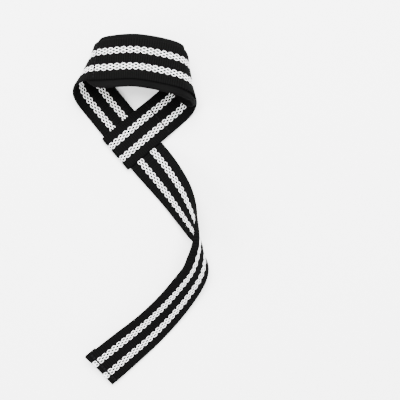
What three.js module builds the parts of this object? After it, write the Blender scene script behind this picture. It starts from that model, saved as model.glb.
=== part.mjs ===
// A lifting strap that wraps round the wrist: one strip of webbing with a folded eye at one end, drawn
// through its own eye into a wrist loop, and a foam pad on the wrist side of the loop.
// Millimetres, +Z up. The strap lies on a flat surface at z = 0, and the origin is at the middle of its
// outline there. The wrist goes through the loop along Y.
import * as THREE from "three";
import { mergeVertices } from "three/addons/utils/BufferGeometryUtils.js";

// Driving dimensions
const layWidth = 125; // across the strap as it lies, in X
const layLength = 330; // along it, in Y
const loopHeight = 48; // the rise of the wrist loop over the surface
const strapWidth = 38;
const strapThickness = 2;
const padWidth = 47;
const padThickness = 4;
const padLength = 139;
const padStart = 392; // from the hem's cut end, along the strap, to the pad's first end
const padShift = 1.5; // off the webbing's middle, towards its lower edge in the loop
const padCorner = 16; // radius
const eyeLength = 37; // from the crossing to the seam that closes the eye
const eyeTail = 6; // webbing past that seam, on the under side
const hemLength = 10; // folded under at the free end
const layerGap = 0.4; // between layers that lie on each other
const hemGap = 0.8; // between the hem's two layers, where the fold is tight
const stepLength = 3; // one facet along the strap, at most
const widthFacets = 4;

const layer = strapThickness + layerGap;
const hemLayer = strapThickness + hemGap;

// Where the strap passes through its own eye, and the way that it and the eye run there, in degrees from +X
const crossing = { x: -0.506, y: 0.172, strapHeading: 130.5, eyeHeading: 220.2 };

// The strap's course, a row for each section. x and y are shares of layWidth and layLength. rise is the
// height of the section's lower edge, a share of loopHeight. heading and lean are the way that its
// width points, in degrees: heading from +X in plan, and lean up from level.
const tail = [
  { x: -0.738, y: -0.478, rise: 0.07, heading: 135, lean: 14 },
  { x: -0.57, y: -0.425, rise: 0.045, heading: 136, lean: 20 },
  { x: -0.367, y: -0.359, rise: 0.02, heading: 140, lean: 30 },
  { x: -0.179, y: -0.283, rise: 0.1, heading: 146, lean: 40 },
  { x: -0.053, y: -0.212, rise: 0.22, heading: 146, lean: 50 },
  { x: -0.017, y: -0.157, rise: 0.28, heading: 134, lean: 56 },
  { x: -0.023, y: -0.105, rise: 0.24, heading: 101, lean: 59 },
  { x: -0.067, y: -0.055, rise: 0.12, heading: 66, lean: 51 },
  { x: -0.16, y: 0.008, rise: 0.03, heading: 45, lean: 34 },
  { x: -0.279, y: 0.07, rise: 0.03, heading: 41, lean: 15 },
];
const loop = [
  { x: -0.754, y: 0.284, rise: 0.014, heading: 40.5, lean: 0 },
  { x: -0.834, y: 0.326, rise: 0.045, heading: 48, lean: -19 },
  { x: -0.843, y: 0.357, rise: 0.3, heading: 63, lean: -27 },
  { x: -0.776, y: 0.373, rise: 0.685, heading: 76, lean: -17 },
  { x: -0.652, y: 0.377, rise: 0.858, heading: 85, lean: -12 },
  { x: -0.452, y: 0.379, rise: 0.925, heading: 90, lean: -11 },
  { x: -0.249, y: 0.368, rise: 0.857, heading: 87, lean: -11 },
  { x: -0.118, y: 0.355, rise: 0.69, heading: 90, lean: -15 },
  { x: -0.069, y: 0.339, rise: 0.31, heading: 100, lean: -25 },
  { x: -0.104, y: 0.312, rise: 0.073, heading: 120, lean: -17 },
  { x: -0.183, y: 0.277, rise: 0.013, heading: 130.2, lean: 0 },
];

const direction = (heading, lean = 0) => {
  const plan = THREE.MathUtils.degToRad(heading);
  const up = THREE.MathUtils.degToRad(lean);
  return new THREE.Vector3(
    Math.cos(up) * Math.cos(plan),
    Math.cos(up) * Math.sin(plan),
    Math.sin(up),
  );
};

// A section of the strap: the point at its middle, and the unit vector across its width
const section = (centre, across) => ({ centre, across });

const tabledSection = ({ x, y, rise, heading, lean }) => {
  const across = direction(heading, lean);
  const level = Math.hypot(across.x, across.y);
  const halfHeight = (strapWidth * Math.abs(across.z) + strapThickness * level) / 2;
  return section(
    new THREE.Vector3(x * layWidth, y * layLength, rise * loopHeight + halfHeight),
    across,
  );
};

// Sections along a straight line from a point, each at a distance and a height of its middle
const straightSections = (from, heading, stops) => {
  const along = direction(heading);
  const across = direction(heading - 90);
  return stops.map(({ distance, height }) =>
    section(from.clone().addScaledVector(along, distance).setZ(height), across),
  );
};

// Sections round a half turn, from one layer of the strap to the next one
const turnSections = (middle, outward, up, across, radius) => {
  const turnSteps = 12;
  return Array.from({ length: turnSteps + 1 }, (_, i) => {
    const angle = (Math.PI * i) / turnSteps;
    const centre = middle
      .clone()
      .addScaledVector(outward, radius * Math.sin(angle))
      .addScaledVector(up, radius * Math.cos(angle));
    return section(centre, across);
  });
};

// The free end, folded under itself
function hemSections(tip, next) {
  const inward = next.centre.clone().sub(tip.centre).normalize();
  const up = inward.clone().cross(tip.across).normalize();
  const radius = hemLayer / 2;
  const middle = tip.centre.clone().addScaledVector(up, -radius);
  const outward = inward.clone().negate();
  const under = middle.clone().addScaledVector(up, -radius);
  return [
    section(under.clone().addScaledVector(inward, hemLength - radius), tip.across),
    ...turnSections(middle, outward, up.clone().negate(), tip.across, radius),
  ];
}

// The strap where it goes through the eye: the middle one of three layers
function throughSections(point) {
  const reach = strapWidth / 2 + 2 * strapThickness;
  const height = strapThickness / 2 + layer;
  return straightSections(point, crossing.strapHeading, [
    { distance: -reach, height },
    { distance: 0, height },
    { distance: reach, height },
  ]);
}

// The eye: over the strap, round its edge and back under it to the seam
function eyeSections(point) {
  const edge = strapWidth / 2;
  const lowest = strapThickness / 2;
  const highest = lowest + 2 * layer;
  const turnAt = edge - layerGap;
  const over = [
    { distance: -eyeLength, height: lowest + layer },
    { distance: -(edge + 2 * strapThickness), height: highest },
    { distance: 0, height: highest },
  ];
  const under = [
    { distance: 0, height: lowest },
    { distance: -edge, height: lowest },
    { distance: -eyeLength - eyeTail, height: lowest },
  ];
  const outward = direction(crossing.eyeHeading);
  const across = direction(crossing.eyeHeading - 90);
  const middle = point.clone().addScaledVector(outward, turnAt).setZ(lowest + layer);
  return [
    ...straightSections(point, crossing.eyeHeading, over),
    ...turnSections(middle, outward, new THREE.Vector3(0, 0, 1), across, layer),
    ...straightSections(point, crossing.eyeHeading, under),
  ];
}

function strapSections() {
  const point = new THREE.Vector3(crossing.x * layWidth, crossing.y * layLength, 0);
  const tailSections = tail.map(tabledSection);
  const [tip, next] = tailSections;
  return [
    ...hemSections(tip, next),
    ...tailSections.slice(1),
    ...throughSections(point),
    ...loop.map(tabledSection),
    ...eyeSections(point),
  ];
}

// Frames along a smooth course through the sections: a point, the way along, across the width and out
// of the face, and how far along the strap the point is
function courseFrames(sections) {
  const centres = new THREE.CatmullRomCurve3(
    sections.map((s) => s.centre),
    false,
    "catmullrom",
  );
  const widths = new THREE.CatmullRomCurve3(
    sections.map((s) => s.across),
    false,
    "catmullrom",
  );
  const spans = sections.length - 1;
  const frames = [];
  let distance = 0;
  const addFrame = (t) => {
    const point = centres.getPoint(t);
    const along = centres.getTangent(t);
    const across = widths.getPoint(t);
    across.addScaledVector(along, -across.dot(along)).normalize();
    const out = along.clone().cross(across);
    if (frames.length) distance += point.distanceTo(frames.at(-1).point);
    frames.push({ point, along, across, out, distance });
  };
  for (let span = 0; span < spans; span++) {
    const length = sections[span].centre.distanceTo(sections[span + 1].centre);
    const steps = Math.ceil(length / stepLength);
    for (let i = 0; i < steps; i++) addFrame((span + i / steps) / spans);
  }
  addFrame(1);
  return frames;
}

// The frame at a distance along the course, between its two neighbours
function frameAt(frames, distance) {
  const after = Math.max(1, frames.findIndex((f) => f.distance > distance));
  const [a, b] = [frames[after - 1], frames[after]];
  const share = (distance - a.distance) / (b.distance - a.distance);
  const mix = (key) => a[key].clone().lerp(b[key], share);
  return {
    point: mix("point"),
    across: mix("across").normalize(),
    out: mix("out").normalize(),
    distance,
  };
}

// A solid band along the frames: a box with a facet for each step, bent to follow them. widthAt gives
// its width at a frame, and its middle is sideways and out from the frame's point.
function bandGeometry(frames, widthAt, sideways, thickness, offset) {
  const steps = frames.length - 1;
  const box = new THREE.BoxGeometry(steps, 1, thickness, steps, widthFacets, 1);
  const position = box.getAttribute("position");
  for (let i = 0; i < position.count; i++) {
    const frame = frames[Math.round(position.getX(i) + steps / 2)];
    const place = frame.point
      .clone()
      .addScaledVector(frame.across, position.getY(i) * widthAt(frame) + sideways)
      .addScaledVector(frame.out, position.getZ(i) + offset);
    position.setXYZ(i, place.x, place.y, place.z);
  }
  box.deleteAttribute("normal");
  box.deleteAttribute("uv");
  const geometry = mergeVertices(box);
  geometry.computeVertexNormals();
  return geometry;
}

const strapFrames = courseFrames(strapSections());

function webbing() {
  const material = new THREE.MeshStandardMaterial({ color: 0x1b1b1c, roughness: 0.9, metalness: 0 });
  const mesh = new THREE.Mesh(
    bandGeometry(strapFrames, () => strapWidth, 0, strapThickness, 0),
    material,
  );
  mesh.name = "webbing";
  return mesh;
}

// The pad lies on the face that meets the wrist, and follows the strap there. Its corners are rounded.
function wristPad() {
  const padEnd = padStart + padLength;
  const cornerSteps = [0, 0.02, 0.08, 0.2, 0.36, 0.6, 1].map((share) => share * padCorner);
  const inner = strapFrames.filter(
    (f) => f.distance > padStart + padCorner + 1 && f.distance < padEnd - padCorner - 1,
  );
  const frames = [
    ...cornerSteps.map((step) => frameAt(strapFrames, padStart + step)),
    ...inner,
    ...cornerSteps.map((step) => frameAt(strapFrames, padEnd - step)).reverse(),
  ];
  const widthAt = ({ distance }) => {
    const fromEnd = Math.min(distance - padStart, padEnd - distance);
    const short = Math.max(0, padCorner - fromEnd);
    return padWidth - 2 * (padCorner - Math.sqrt(Math.max(0, padCorner ** 2 - short ** 2)));
  };
  const out = -(strapThickness / 2 + layerGap + padThickness / 2);
  const material = new THREE.MeshStandardMaterial({ color: 0x141415, roughness: 0.8, metalness: 0 });
  const mesh = new THREE.Mesh(
    bandGeometry(frames, widthAt, -padShift, padThickness, out),
    material,
  );
  mesh.name = "wrist_pad";
  return mesh;
}

const strap = new THREE.Group();
strap.add(webbing(), wristPad());

// The origin is under the middle of the outline, level with the lowest face
const outline = new THREE.Box3().setFromObject(strap);
const middle = outline.getCenter(new THREE.Vector3());
strap.position.set(-middle.x, -middle.y, -outline.min.z);

export default strap;
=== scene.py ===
"""A lifting strap with a padded wrist loop, lying on a pale table and seen from straight above.

Every piece of the strap is first made flat, as the strap would lie if it were stretched out: X
along the strap from the hem's cut end, Y across it and Z out of its face. It is then laid along the
course that the strap takes. Metres.
"""

import math

import bmesh
import bpy
import numpy as np
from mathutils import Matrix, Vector


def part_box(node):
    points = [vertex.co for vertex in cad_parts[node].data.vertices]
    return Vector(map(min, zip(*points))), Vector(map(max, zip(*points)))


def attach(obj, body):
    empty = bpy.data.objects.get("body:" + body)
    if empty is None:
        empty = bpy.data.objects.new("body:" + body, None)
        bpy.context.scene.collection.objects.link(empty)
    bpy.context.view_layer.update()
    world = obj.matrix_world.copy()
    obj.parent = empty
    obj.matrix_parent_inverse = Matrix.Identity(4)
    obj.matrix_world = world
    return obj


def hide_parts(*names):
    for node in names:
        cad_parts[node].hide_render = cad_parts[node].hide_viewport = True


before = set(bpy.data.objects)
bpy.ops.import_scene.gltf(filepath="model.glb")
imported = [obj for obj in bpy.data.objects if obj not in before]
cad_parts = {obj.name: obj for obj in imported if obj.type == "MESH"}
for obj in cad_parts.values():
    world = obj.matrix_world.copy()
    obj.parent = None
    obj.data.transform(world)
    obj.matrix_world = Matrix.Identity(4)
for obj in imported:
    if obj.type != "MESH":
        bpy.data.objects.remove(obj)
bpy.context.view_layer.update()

MM = 0.001

# The strap
LAY_WIDTH = 125 * MM  # across the strap as it lies, in X
LAY_LENGTH = 330 * MM  # along it, in Y
LOOP_HEIGHT = 48 * MM  # the rise of the wrist loop
STRAP_WIDTH = 38 * MM
STRAP_THICKNESS = 2 * MM
LAYER_GAP = 0.4 * MM
HEM_GAP = 0.8 * MM
HEM_LENGTH = 10 * MM
EYE_LENGTH = 37 * MM  # from the crossing to the seam that closes the eye
EYE_TAIL = 6 * MM  # webbing past that seam

# The pad
PAD_START = 392 * MM  # along the strap
PAD_LENGTH = 139 * MM
PAD_WIDTH = 49 * MM  # the soft edges stand a little past the solid's
PAD_THICKNESS = 4 * MM
PAD_SHIFT = 0.5 * MM  # towards the loop's lower edge
PAD_CORNER = 16 * MM
PAD_RIM = 1.5 * MM  # the bevel round its two faces
PAD_FACET = 2.2 * MM  # about the size of its mesh's faces
PAD_TAPER = 38 * MM  # from the pad's last end, over which the fold draws its lower edge in
PAD_DRAW_IN = 6 * MM
PAD_CLEARANCE = 1 * MM  # from the pad's ends to the stripes beside it

# The weave
RIB_PITCH = 2.1 * MM
RIB_HEIGHT = 0.2 * MM
STRIPE_GROUND = 0.3 * RIB_HEIGHT  # the flat weave that carries the yarn
ROWS_PER_RIB = 5
FACE_COLUMNS = 18  # across one face of the webbing
EDGE_COLUMNS = 4  # round one selvedge
STRIPE_OFFSET = 7.6 * MM  # a stripe's middle, from the webbing's middle
STRIPE_WIDTH = 5.6 * MM
STRIPE_END = 2 * MM  # from the webbing's cut ends

# The loops of yarn: the real ones, 4 mm apart in four rows, are too fine to show
LOOP_PITCH = 5.8 * MM
LOOP_ROWS = 3
LOOP_ROW_STEP = 1.45 * MM
LOOP_HALF_LENGTH = 1.95 * MM  # to the middle of the yarn
LOOP_HALF_WIDTH = 1.28 * MM
LOOP_SIDES = 12  # along the yarn
YARN_SIDES = 6  # round it
YARN_RADIUS = 0.34 * MM
YARN_FLATNESS = 0.75  # its height as a share of its width
YARN_LIFT = 0.3  # of its middle above the ground, as a share of its half height

# The seams
STITCH_LENGTH = 2.4 * MM
STITCH_GAP = 0.5 * MM
STITCH_BLUNTNESS = 0.6  # 1 gives an oval stitch, and less gives blunter ends
STITCH_SIDES = 8  # round the thread
STITCH_RINGS = 6  # along it
THREAD_RADIUS = 0.42 * MM  # thicker than real thread, which is too fine to show
THREAD_LIFT = 0.8 * YARN_RADIUS  # of its middle above the cloth
SEAM_REACH = STRAP_WIDTH * 0.46  # each way from the webbing's middle
HEM_SEAM_PLACE = 22 * MM  # from the hem's cut end, along the strap
HEM_ROW_GAP = 1 * MM  # between the hem's two rows of stitches
PAD_SEAM_INSET = 9 * MM
EYE_SEAM_SHIFT = 4 * MM  # towards the crossing

LAYER = STRAP_THICKNESS + LAYER_GAP  # from one webbing's middle to the next
HEM_LAYER = STRAP_THICKNESS + HEM_GAP
FACE = STRAP_THICKNESS / 2 - RIB_HEIGHT  # from the webbing's middle to the foot of its ribs
THREAD_FACE = FACE + THREAD_LIFT
MERGE = 0.01 * MM  # points nearer than this become one

# The strap's course, as in the solid: x and y are shares of the lay's width and length, rise is the
# height of the section's lower edge as a share of the loop's rise, and heading and lean are the way
# that its width points, in degrees.
TAIL = [
    dict(x=-0.738, y=-0.478, rise=0.07, heading=135, lean=14),
    dict(x=-0.57, y=-0.425, rise=0.045, heading=136, lean=20),
    dict(x=-0.367, y=-0.359, rise=0.02, heading=140, lean=30),
    dict(x=-0.179, y=-0.283, rise=0.1, heading=146, lean=40),
    dict(x=-0.053, y=-0.212, rise=0.22, heading=146, lean=50),
    dict(x=-0.017, y=-0.157, rise=0.28, heading=134, lean=56),
    dict(x=-0.023, y=-0.105, rise=0.24, heading=101, lean=59),
    dict(x=-0.067, y=-0.055, rise=0.12, heading=66, lean=51),
    dict(x=-0.16, y=0.008, rise=0.03, heading=45, lean=34),
    dict(x=-0.279, y=0.07, rise=0.03, heading=41, lean=15),
]
LOOP = [
    dict(x=-0.754, y=0.284, rise=0.014, heading=40.5, lean=0),
    dict(x=-0.834, y=0.326, rise=0.045, heading=48, lean=-19),
    dict(x=-0.843, y=0.357, rise=0.3, heading=63, lean=-27),
    dict(x=-0.776, y=0.373, rise=0.685, heading=76, lean=-17),
    dict(x=-0.652, y=0.377, rise=0.858, heading=85, lean=-12),
    dict(x=-0.452, y=0.379, rise=0.925, heading=90, lean=-11),
    dict(x=-0.249, y=0.368, rise=0.857, heading=87, lean=-11),
    dict(x=-0.118, y=0.355, rise=0.69, heading=90, lean=-15),
    dict(x=-0.069, y=0.339, rise=0.31, heading=100, lean=-25),
    dict(x=-0.104, y=0.312, rise=0.073, heading=120, lean=-17),
    dict(x=-0.183, y=0.277, rise=0.013, heading=130.2, lean=0),
]
CROSSING = dict(x=-0.506, y=0.172, strap_heading=130.5, eye_heading=220.2)
TURN_STEPS = 12  # round a fold of the webbing
SPAN_STEPS = 24  # of the smooth course, between two sections

# At the tail's twist both edges of the webbing roll over, and its middle gives way. A roll has its
# start, from the webbing's middle, its angle at the edge in degrees, and its reach along the strap
# before and after the twist.
ROLL_MIDDLE = 166 * MM  # along the strap
UPPER_ROLL = dict(start=10 * MM, angle=75, before=45 * MM, after=28 * MM)
LOWER_ROLL = dict(start=2 * MM, angle=45, before=17 * MM, after=40 * MM)
ROLL_GIVE = 3 * MM  # out of the strap's face
ROLL_GIVE_REACH = 28 * MM

# The picture, a square one from straight above
CAMERA_HEIGHT = 750 * MM
CAMERA_NEAR = 10 * MM
PICTURE_SIDE = 377.2 * MM  # of the table, seen in the picture

# The table and its light, in metres and watts
TABLE_REACH = 3.0  # each way from the middle
TABLE_DROP = 0.2 * MM
SOFTBOXES = [
    dict(name="softbox_top", place=(0.1, 0.6, 1.5), size=1.2, power=150),
    dict(name="softbox_left", place=(-1.3, -0.4, 1.2), size=1.0, power=34),
]
DAYLIGHT = 2.0  # the strength of the even light from all round


# ---------------------------------------------------------------- course


def direction(heading, lean=0):
    """A unit vector along a heading, in degrees from X, that leans up out of the table."""
    plan, up = math.radians(heading), math.radians(lean)
    return np.array(
        [math.cos(up) * math.cos(plan), math.cos(up) * math.sin(plan), math.sin(up)]
    )


def tabled_section(row):
    """A section's middle and the way across it, from a row of the tables."""
    across = direction(row["heading"], row["lean"])
    level = math.hypot(across[0], across[1])
    half_height = (STRAP_WIDTH * abs(across[2]) + STRAP_THICKNESS * level) / 2
    height = row["rise"] * LOOP_HEIGHT + half_height
    return np.array([row["x"] * LAY_WIDTH, row["y"] * LAY_LENGTH, height]), across


def straight_sections(point, heading, stops):
    """Level sections along a heading, at stops of a distance and a height."""
    along, across = direction(heading), direction(heading - 90)
    sections = []
    for distance, height in stops:
        centre = point + along * distance
        centre[2] = height
        sections.append((centre, across))
    return sections


def turn_sections(middle, outward, up, across, radius):
    """The sections of a fold, half a turn about its middle."""
    angles = [math.pi * i / TURN_STEPS for i in range(TURN_STEPS + 1)]
    return [
        (middle + outward * radius * math.sin(a) + up * radius * math.cos(a), across)
        for a in angles
    ]


def hem_sections(tip, after):
    """The hem: its cut end lies under the strap and folds up to the tip."""
    inward = after[0] - tip[0]
    inward /= np.linalg.norm(inward)
    up = np.cross(inward, tip[1])
    up /= np.linalg.norm(up)
    radius = HEM_LAYER / 2
    middle = tip[0] - up * radius
    under = middle - up * radius
    return [
        (under + inward * (HEM_LENGTH - radius), tip[1]),
        *turn_sections(middle, -inward, -up, tip[1], radius),
    ]


def eye_sections(point):
    """The eye: over the crossing, round its fold and back under both."""
    heading = CROSSING["eye_heading"]
    edge = STRAP_WIDTH / 2
    lowest = STRAP_THICKNESS / 2
    highest = lowest + 2 * LAYER
    over = [(-EYE_LENGTH, lowest + LAYER), (-edge - 2 * STRAP_THICKNESS, highest), (0, highest)]
    under = [(0, lowest), (-edge, lowest), (-EYE_LENGTH - EYE_TAIL, lowest)]
    middle = point + direction(heading) * (edge - LAYER_GAP)
    middle[2] = lowest + LAYER
    up = np.array([0.0, 0.0, 1.0])
    return [
        *straight_sections(point, heading, over),
        *turn_sections(middle, direction(heading), up, direction(heading - 90), LAYER),
        *straight_sections(point, heading, under),
    ]


def crossing_point():
    """Where the strap passes through its eye, on the table."""
    return np.array([CROSSING["x"] * LAY_WIDTH, CROSSING["y"] * LAY_LENGTH, 0.0])


def strap_sections():
    """Every section of the strap, from the hem's cut end to the eye's."""
    point = crossing_point()
    tail = [tabled_section(row) for row in TAIL]
    reach = STRAP_WIDTH / 2 + 2 * STRAP_THICKNESS
    height = STRAP_THICKNESS / 2 + LAYER
    through = [(-reach, height), (0, height), (reach, height)]
    return [
        *hem_sections(tail[0], tail[1]),
        *tail[1:],
        *straight_sections(point, CROSSING["strap_heading"], through),
        *[tabled_section(row) for row in LOOP],
        *eye_sections(point),
    ]


def smooth_rows(rows, steps):
    """Points of a uniform Catmull-Rom curve through the rows, steps of them in each span."""
    rows = np.vstack([2 * rows[0] - rows[1], rows, 2 * rows[-1] - rows[-2]])
    t = (np.arange(steps) / steps)[:, None]
    spans = []
    for a, b, c, d in zip(rows, rows[1:], rows[2:], rows[3:]):
        cubic = 3 * b - a - 3 * c + d
        square = 2 * a - 5 * b + 4 * c - d
        spans.append(b + 0.5 * ((c - a) * t + square * t**2 + cubic * t**3))
    return np.vstack([*spans, rows[-2][None]])


def unit(rows):
    """Each row at length 1."""
    return rows / np.linalg.norm(rows, axis=1)[:, None]


def edge_arc(x, y, roll):
    """How far an edge's arc has turned at y, and how far it runs along the section and off it."""
    reach = np.where(x < ROLL_MIDDLE, roll["before"], roll["after"])
    share = np.exp(-(((x - ROLL_MIDDLE) / reach) ** 2))
    past = np.maximum(y - roll["start"], 0)
    turn = math.radians(roll["angle"]) * share * past / (STRAP_WIDTH / 2 - roll["start"])
    along = past * np.sinc(turn / math.pi)
    off = past * np.sinc(turn / math.tau) * np.sin(turn / 2)
    return turn, along, off


def rolled(x, y, z):
    """The section's y and z at flat points, with the edges rolled over at the twist."""
    give = ROLL_GIVE * np.exp(-(((x - ROLL_MIDDLE) / ROLL_GIVE_REACH) ** 2))
    upper_turn, upper_along, upper_off = edge_arc(x, y, UPPER_ROLL)
    lower_turn, lower_along, lower_off = edge_arc(x, -y, LOWER_ROLL)
    straight = np.clip(y, -LOWER_ROLL["start"], UPPER_ROLL["start"])
    turn = upper_turn - lower_turn
    return (
        straight + upper_along - lower_along + z * np.sin(turn),
        z * np.cos(turn) - upper_off - lower_off + give,
    )


class Course:
    """The way that the strap takes: its middle, the ways across and out, and the distance."""

    def __init__(self):
        sections = np.array([np.concatenate(s) for s in strap_sections()])
        rows = smooth_rows(sections, SPAN_STEPS)
        self.middle = rows[:, :3]
        along = unit(np.gradient(self.middle, axis=0))
        across = rows[:, 3:] - along * (rows[:, 3:] * along).sum(1)[:, None]
        self.across = unit(across)
        self.out = np.cross(along, self.across)
        steps = np.linalg.norm(np.diff(self.middle, axis=0), axis=1)
        self.distance = np.concatenate([[0], np.cumsum(steps)])
        self.length = self.distance[-1]
        self.origin = self.place_in_frame()

    def middle_distance(self, point):
        """How far along the strap its middle passes a point."""
        return self.distance[np.linalg.norm(self.middle - point, axis=1).argmin()]

    def at(self, rows, distance):
        """The course's rows at distances along it."""
        return np.stack([np.interp(distance, self.distance, rows[:, k]) for k in range(3)], 1)

    def place(self, flat):
        """Flat points of the strap, laid along the course."""
        x = flat[:, 0]
        middle = self.at(self.middle, x)
        across = unit(self.at(self.across, x))
        out = unit(self.at(self.out, x))
        y, z = rolled(*flat.T)
        return middle + across * y[:, None] + out * z[:, None]

    def place_in_frame(self):
        """The step from the course's own origin to the frame's, so that its box is the solid's."""
        half_width, half_thickness = STRAP_WIDTH / 2, STRAP_THICKNESS / 2
        corners = [
            self.middle + self.across * w * half_width + self.out * n * half_thickness
            for w in (-1, 1)
            for n in (-1, 1)
        ]
        corners = np.vstack(corners)
        low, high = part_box("webbing")
        step = (np.array(low) + np.array(high) - corners.min(0) - corners.max(0)) / 2
        step[2] = low[2] - corners[:, 2].min()
        return step


course = Course()


# ---------------------------------------------------------------- flat pieces and laying


def lay(bm, name, material):
    """Lays a flat piece on the course as an object, with its flat place kept as a UV map."""
    bmesh.ops.recalc_face_normals(bm, faces=bm.faces)
    uv = bm.loops.layers.uv.new("strap")
    for face in bm.faces:
        face.smooth = True
        for loop in face.loops:
            loop[uv].uv = loop.vert.co.xy
    mesh = bpy.data.meshes.new(name)
    bm.to_mesh(mesh)
    bm.free()
    flat = np.empty(len(mesh.vertices) * 3)
    mesh.vertices.foreach_get("co", flat)
    placed = course.place(flat.reshape(-1, 3)) + course.origin
    mesh.vertices.foreach_set("co", placed.ravel())
    mesh.materials.append(material)
    mesh.update()
    piece = bpy.data.objects.new(name, mesh)
    bpy.context.collection.objects.link(piece)
    return piece


def wrapped_grid(rows, columns):
    """A grid that is then rolled up, and each of its vertices with its row and column."""
    bm = bmesh.new()
    bmesh.ops.create_grid(bm, x_segments=rows, y_segments=columns, size=1)
    places = [(v, (v.co.x + 1) / 2 * rows, (v.co.y + 1) / 2 * columns) for v in bm.verts]
    return bm, places


def section_ring():
    """The webbing's section as (y, z, ribbed) points: two faces and two round selvedges."""
    half = STRAP_WIDTH / 2 - FACE
    ring = []
    for side in (1, -1):
        for i in range(FACE_COLUMNS):
            ring.append((side * half * (2 * i / FACE_COLUMNS - 1), side * -FACE, side * -1))
        for i in range(EDGE_COLUMNS):
            angle = math.pi * i / EDGE_COLUMNS
            ring.append(
                (side * (half + FACE * math.sin(angle)), side * -FACE * math.cos(angle), 0)
            )
    return ring


def rib_rise(distance, phase=0):
    """How high a rib stands at a distance along the strap."""
    return RIB_HEIGHT * (0.5 + 0.5 * math.cos(2 * math.pi * distance / RIB_PITCH + phase))


def webbing_piece(material):
    """The webbing: a tube of its section, ribbed across but for the ground of the stripes."""
    rows = round(course.length / RIB_PITCH * ROWS_PER_RIB)
    ring = section_ring()
    bm, places = wrapped_grid(rows, len(ring))
    for vert, row, column in places:
        x = course.length * row / rows
        y, z, side = ring[round(column) % len(ring)]
        if side:
            striped = abs(abs(y) - STRIPE_OFFSET) < STRIPE_WIDTH / 2
            z += side * (STRIPE_GROUND if striped else rib_rise(x, 0 if side > 0 else math.pi))
        else:
            y += math.copysign(rib_rise(x) / 2, y)
        vert.co = (x, y, z)
    bmesh.ops.remove_doubles(bm, verts=bm.verts, dist=MERGE)
    bmesh.ops.holes_fill(bm, edges=[e for e in bm.edges if e.is_boundary], sides=0)
    return lay(bm, "webbing_cloth", material)


def yarn_loop(bm, x, y, side):
    """One flattened loop of yarn, on one face of the webbing."""
    ring = bmesh.new()
    bmesh.ops.create_grid(ring, x_segments=LOOP_SIDES, y_segments=YARN_SIDES, size=1)
    for vert in ring.verts:
        turn, roll = math.pi * vert.co.x, math.pi * vert.co.y
        radius = YARN_RADIUS * math.cos(roll)
        height = YARN_FLATNESS * YARN_RADIUS * (YARN_LIFT + math.sin(roll))
        vert.co = (
            x + (LOOP_HALF_LENGTH + radius) * math.cos(turn),
            y + (LOOP_HALF_WIDTH + radius) * math.sin(turn),
            side * (FACE + STRIPE_GROUND + height),
        )
    bmesh.ops.remove_doubles(ring, verts=ring.verts, dist=MERGE)
    mesh = bpy.data.meshes.new("yarn_loop")
    ring.to_mesh(mesh)
    ring.free()
    bm.from_mesh(mesh)
    bpy.data.meshes.remove(mesh)


def stripe_piece(name, middle, side, spans, seams, material):
    """A stripe of staggered loops on one face, over spans of the strap and parted at its seams."""
    bm = bmesh.new()
    half_pitch = LOOP_PITCH / 2
    for column in range(1, int(course.length / half_pitch)):
        x = column * half_pitch
        in_span = any(start < x < end for start, end in spans)
        if not in_span or any(abs(x - seam) < half_pitch / 2 for seam in seams):
            continue
        for row in range(column % 2, LOOP_ROWS, 2):
            offset = (row - (LOOP_ROWS - 1) / 2) * LOOP_ROW_STEP
            yarn_loop(bm, x, middle + offset, side)
    return lay(bm, name, material)


def seam_place(distance):
    """The nearest column with one yarn loop in it. The seam's stitches take that loop's place."""
    half_pitch = LOOP_PITCH / 2
    return (2 * round((distance / half_pitch - 1) / 2) + 1) * half_pitch


def seam_piece(name, seams, material):
    """Rows of stitches across the strap. A seam is its distance and the heights of its rows."""
    bm = bmesh.new()
    pitch = STITCH_LENGTH + STITCH_GAP
    count = int(2 * SEAM_REACH / pitch)
    for x, heights in seams:
        for z in heights:
            for i in range(count):
                y = (i - (count - 1) / 2) * pitch
                stitch = bmesh.ops.create_uvsphere(
                    bm, u_segments=STITCH_SIDES, v_segments=STITCH_RINGS, radius=1
                )
                for vert in stitch["verts"]:
                    u, v, w = vert.co
                    vert.co = (
                        x + v * THREAD_RADIUS,
                        y + math.copysign(abs(w) ** STITCH_BLUNTNESS, w) * STITCH_LENGTH / 2,
                        z + u * THREAD_RADIUS,
                    )
    return lay(bm, name, material)


def climb(edge):
    """How far an edge climbs."""
    return abs(edge.verts[0].co.z - edge.verts[1].co.z)


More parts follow.
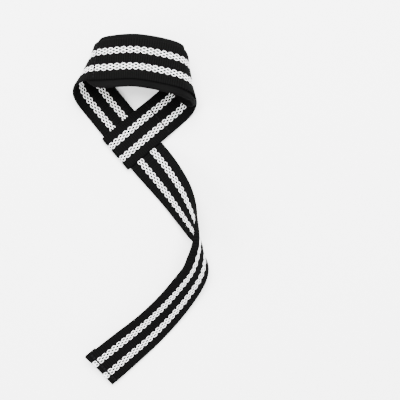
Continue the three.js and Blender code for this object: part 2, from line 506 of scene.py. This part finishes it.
def pad_piece(material):
    """The foam pad: a rounded slab under the webbing, whose lower edge draws in at the last end."""
    bm = bmesh.new()
    bmesh.ops.create_cube(bm, size=1)
    bmesh.ops.scale(bm, vec=(PAD_LENGTH, PAD_WIDTH, PAD_THICKNESS), verts=bm.verts)
    upright = [e for e in bm.edges if climb(e) > PAD_THICKNESS / 2]
    bmesh.ops.bevel(
        bm, geom=upright, offset=PAD_CORNER, segments=10, profile=0.5, affect="EDGES", material=-1
    )
    rims = [e for e in bm.edges if climb(e) < PAD_THICKNESS / 2]
    bmesh.ops.bevel(
        bm, geom=rims, offset=PAD_RIM, segments=4, profile=0.5, affect="EDGES", material=-1
    )
    for size, normal in ((PAD_LENGTH, Vector((1, 0, 0))), (PAD_WIDTH, Vector((0, 1, 0)))):
        cuts = round(size / PAD_FACET)
        for i in range(1, cuts):
            geom = [*bm.verts, *bm.edges, *bm.faces]
            place = normal * (size * (i / cuts - 0.5))
            bmesh.ops.bisect_plane(bm, geom=geom, plane_co=place, plane_no=normal, dist=1e-6)
    for vert in bm.verts:
        share = max(0, 1 - (PAD_LENGTH / 2 - vert.co.x) / PAD_TAPER)
        eased = share**2 * (3 - 2 * share)
        if vert.co.y < 0:
            vert.co.y *= 1 - eased * PAD_DRAW_IN / (PAD_WIDTH / 2)
    depth = STRAP_THICKNESS / 2 + LAYER_GAP + PAD_THICKNESS / 2
    centre = Vector((PAD_START + PAD_LENGTH / 2, -PAD_SHIFT, -depth))
    bmesh.ops.translate(bm, vec=centre, verts=bm.verts)
    return lay(bm, "pad_foam", material)


# ---------------------------------------------------------------- materials

# The real fuzz, twist and pebble are too fine to show, and are drawn about twice as coarse.
WAVE_OF_ONE = math.tau / 20  # the scale at which a wave texture's bands are one metre apart
WARP_PITCH = 0.9 * MM  # of the lengthwise yarns
FUZZ_SIZE = 1.1 * MM  # of the tufts on cotton
PLY_TWIST = 0.6 * MM  # from ply to ply along the yarn
THREAD_TWIST = 0.55 * MM  # the same, along the sewing thread
PEBBLE_SIZE = 0.75 * MM  # of the grain in the foam's skin
FOAM_CLOUD = 16 * MM  # of its paler and darker patches
PAINT_CLOUD = 330 * MM  # the same, on the table


def linear(hex_colour):
    """An sRGB hex colour as linear light, with alpha 1."""
    channels = [int(hex_colour[i : i + 2], 16) / 255 for i in (1, 3, 5)]
    return [c / 12.92 if c <= 0.04045 else ((c + 0.055) / 1.055) ** 2.4 for c in channels] + [1]


def add_node(material, kind, inputs=None, **settings):
    """Adds a node with its settings. An input is a value, or the output socket that feeds it."""
    tree = material.node_tree
    node = tree.nodes.new(kind)
    for key, value in settings.items():
        setattr(node, key, value)
    for key, value in (inputs or {}).items():
        if isinstance(value, bpy.types.NodeSocket):
            tree.links.new(value, node.inputs[key])
        else:
            node.inputs[key].default_value = value
    return node


def new_material(name):
    """An empty material with nodes."""
    material = bpy.data.materials.new(name)
    material.use_nodes = True
    material.node_tree.nodes.clear()
    return material


def finish_material(material, inputs):
    """Gives a material its shader and output."""
    shader = add_node(material, "ShaderNodeBsdfPrincipled", inputs)
    add_node(material, "ShaderNodeOutputMaterial", {"Surface": shader.outputs["BSDF"]})
    return material


def woven_cotton():
    """Black cotton webbing: dull, with cross ribs and fine warp lines, and painted shade between
    the ribs.
    """
    m = new_material("woven_cotton_black")
    flat = add_node(m, "ShaderNodeUVMap", uv_map="strap").outputs["UV"]
    warp = add_node(
        m,
        "ShaderNodeTexWave",
        {"Vector": flat, "Scale": WAVE_OF_ONE / WARP_PITCH, "Distortion": 1.2, "Detail": 1.0},
        wave_type="BANDS",
        bands_direction="Y",
    ).outputs["Fac"]
    weft = add_node(
        m,
        "ShaderNodeTexWave",
        {"Vector": flat, "Scale": WAVE_OF_ONE / RIB_PITCH, "Phase Offset": math.pi},
        wave_type="BANDS",
        bands_direction="X",
    ).outputs["Fac"]
    fuzz = add_node(
        m, "ShaderNodeTexNoise", {"Vector": flat, "Scale": 1 / FUZZ_SIZE, "Detail": 3.0}
    ).outputs["Fac"]
    weave = add_node(m, "ShaderNodeMath", {0: warp, 1: weft}, operation="MULTIPLY").outputs[0]
    # Painted shade of the ribs: the colour is lighter along the outer face's rib crests and darker
    # between them, and the cotton's fuzz varies it at random.
    rib_shade_and_fuzz = add_node(m, "ShaderNodeMath", {0: weft, 1: fuzz}, operation="MULTIPLY").outputs[0]
    colour = add_node(
        m,
        "ShaderNodeMix",
        {"Factor": rib_shade_and_fuzz, "A": linear("#030303"), "B": linear("#0c0c0c")},
        data_type="RGBA",
    ).outputs["Result"]
    height = add_node(m, "ShaderNodeMath", {0: weave, 1: fuzz}, operation="ADD").outputs[0]
    bump = add_node(
        m, "ShaderNodeBump", {"Height": height, "Strength": 0.5, "Distance": 0.15 * MM}
    ).outputs["Normal"]
    return finish_material(
        m,
        {"Base Color": colour, "Roughness": 0.95, "Specular IOR Level": 0.02, "Normal": bump},
    )


def knitted_yarn():
    """White cotton yarn: soft and matt, with the fine twist of its plies."""
    m = new_material("cotton_yarn_white")
    flat = add_node(m, "ShaderNodeUVMap", uv_map="strap").outputs["UV"]
    twist = add_node(
        m, "ShaderNodeTexNoise", {"Vector": flat, "Scale": 1 / PLY_TWIST, "Detail": 2.0}
    ).outputs["Fac"]
    colour = add_node(
        m,
        "ShaderNodeMix",
        {"Factor": twist, "A": linear("#ececed"), "B": linear("#fdfdfd")},
        data_type="RGBA",
    ).outputs["Result"]
    bump = add_node(
        m, "ShaderNodeBump", {"Height": twist, "Strength": 0.4, "Distance": 0.1 * MM}
    ).outputs["Normal"]
    return finish_material(
        m, {"Base Color": colour, "Roughness": 0.85, "Specular IOR Level": 0.3, "Normal": bump}
    )


def polyester_thread():
    """Black polyester sewing thread: a tight twist, nearly matt."""
    m = new_material("polyester_thread_black")
    place = add_node(m, "ShaderNodeTexCoord").outputs["Object"]
    twist = add_node(
        m, "ShaderNodeTexNoise", {"Vector": place, "Scale": 1 / THREAD_TWIST, "Detail": 1.0}
    ).outputs["Fac"]
    colour = add_node(
        m,
        "ShaderNodeMix",
        {"Factor": twist, "A": linear("#060607"), "B": linear("#0e0e0f")},
        data_type="RGBA",
    ).outputs["Result"]
    return finish_material(
        m, {"Base Color": colour, "Roughness": 0.8, "Specular IOR Level": 0.06}
    )


def rubber_foam():
    """Rubber foam with a smooth skin: near black, dull, with a faint fine pebble."""
    m = new_material("rubber_foam_black")
    place = add_node(m, "ShaderNodeTexCoord").outputs["Object"]
    pebble = add_node(
        m, "ShaderNodeTexNoise", {"Vector": place, "Scale": 1 / PEBBLE_SIZE, "Detail": 2.0}
    ).outputs["Fac"]
    cloud = add_node(
        m, "ShaderNodeTexNoise", {"Vector": place, "Scale": 1 / FOAM_CLOUD, "Detail": 2.0}
    ).outputs["Fac"]
    colour = add_node(
        m,
        "ShaderNodeMix",
        {"Factor": cloud, "A": linear("#040404"), "B": linear("#070707")},
        data_type="RGBA",
    ).outputs["Result"]
    bump = add_node(
        m, "ShaderNodeBump", {"Height": pebble, "Strength": 0.25, "Distance": 0.1 * MM}
    ).outputs["Normal"]
    return finish_material(
        m, {"Base Color": colour, "Roughness": 0.85, "Specular IOR Level": 0.02, "Normal": bump}
    )


def table_paint():
    """Matt white paint on the table."""
    m = new_material("matt_paint_white")
    place = add_node(m, "ShaderNodeTexCoord").outputs["Object"]
    cloud = add_node(
        m, "ShaderNodeTexNoise", {"Vector": place, "Scale": 1 / PAINT_CLOUD}
    ).outputs["Fac"]
    colour = add_node(
        m,
        "ShaderNodeMix",
        {"Factor": cloud, "A": linear("#f4f4f4"), "B": linear("#f8f8f8")},
        data_type="RGBA",
    ).outputs["Result"]
    return finish_material(m, {"Base Color": colour, "Roughness": 0.9})


# ---------------------------------------------------------------- the strap

yarn = knitted_yarn()

webbing = webbing_piece(woven_cotton())
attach(webbing, "root")
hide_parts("webbing")

pad = pad_piece(rubber_foam())
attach(pad, "root")
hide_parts("wrist_pad")

# Where the seams are along the strap
hem_seam = seam_place(HEM_SEAM_PLACE)
pad_seams = (
    seam_place(PAD_START + PAD_SEAM_INSET),
    seam_place(PAD_START + PAD_LENGTH - PAD_SEAM_INSET),
)
eye_start = course.middle_distance(eye_sections(crossing_point())[0][0])
eye_seams = (
    seam_place(eye_start + EYE_SEAM_SHIFT),
    seam_place(course.length - EYE_TAIL - EYE_SEAM_SHIFT),
)

# The stripes, with the inner ones left out under the pad
stripes_end = course.length - STRIPE_END
outer_spans = [(STRIPE_END, stripes_end)]
inner_spans = [
    (STRIPE_END, PAD_START - PAD_CLEARANCE),
    (PAD_START + PAD_LENGTH + PAD_CLEARANCE, stripes_end),
]
outer_seams = (hem_seam, *pad_seams)
inner_seams = (hem_seam, *eye_seams)
stripes = [
    stripe_piece("stripe_outer_low", -STRIPE_OFFSET, 1, outer_spans, outer_seams, yarn),
    stripe_piece("stripe_outer_high", STRIPE_OFFSET, 1, outer_spans, outer_seams, yarn),
    stripe_piece("stripe_inner_low", -STRIPE_OFFSET, -1, inner_spans, inner_seams, yarn),
    stripe_piece("stripe_inner_high", STRIPE_OFFSET, -1, inner_spans, inner_seams, yarn),
]

# The seams: through the hem, at both ends of the pad, and through the eye
stitches = seam_piece(
    "seam_thread",
    [
        (hem_seam - HEM_ROW_GAP / 2, (-THREAD_FACE, THREAD_FACE)),
        (hem_seam + HEM_ROW_GAP / 2, (-THREAD_FACE, THREAD_FACE)),
        *[(seam, (THREAD_FACE,)) for seam in pad_seams],
        *[(seam, (-THREAD_FACE,)) for seam in eye_seams],
    ],
    polyester_thread(),
)
for piece in [*stripes, stitches]:
    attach(piece, "root")


# ---------------------------------------------------------------- table, light and camera


def table():
    """The pale table that the strap lies on."""
    bm = bmesh.new()
    bmesh.ops.create_grid(bm, x_segments=1, y_segments=1, size=TABLE_REACH)
    bmesh.ops.translate(bm, vec=(0, 0, -TABLE_DROP), verts=bm.verts)
    mesh = bpy.data.meshes.new("table")
    bm.to_mesh(mesh)
    bm.free()
    mesh.materials.append(table_paint())
    piece = bpy.data.objects.new("table", mesh)
    bpy.context.collection.objects.link(piece)


def softbox(name, place, size, power):
    """A square lamp that faces the strap."""
    light = bpy.data.lights.new(name, "AREA")
    light.shape = "SQUARE"
    light.size = size
    light.energy = power
    lamp = bpy.data.objects.new(name, light)
    lamp.location = place
    lamp.rotation_euler = (-Vector(place)).to_track_quat("-Z", "Y").to_euler()
    bpy.context.collection.objects.link(lamp)


def picture_camera():
    """A camera straight above the course's own origin, which is the middle of the picture."""
    camera = bpy.data.cameras.new("camera")
    camera.sensor_fit = "HORIZONTAL"
    camera.angle = 2 * math.atan(PICTURE_SIDE / 2 / CAMERA_HEIGHT)
    camera.clip_start = CAMERA_NEAR
    eye = bpy.data.objects.new("camera", camera)
    eye.location = (course.origin[0], course.origin[1], CAMERA_HEIGHT)
    bpy.context.collection.objects.link(eye)
    bpy.context.scene.camera = eye


def daylight():
    """Even white light from all round."""
    world = bpy.data.worlds.new("studio")
    world.use_nodes = True
    background = world.node_tree.nodes["Background"]
    background.inputs["Color"].default_value = linear("#ffffff")
    background.inputs["Strength"].default_value = DAYLIGHT
    bpy.context.scene.world = world


table()
for row in SOFTBOXES:
    softbox(**row)
daylight()
picture_camera()
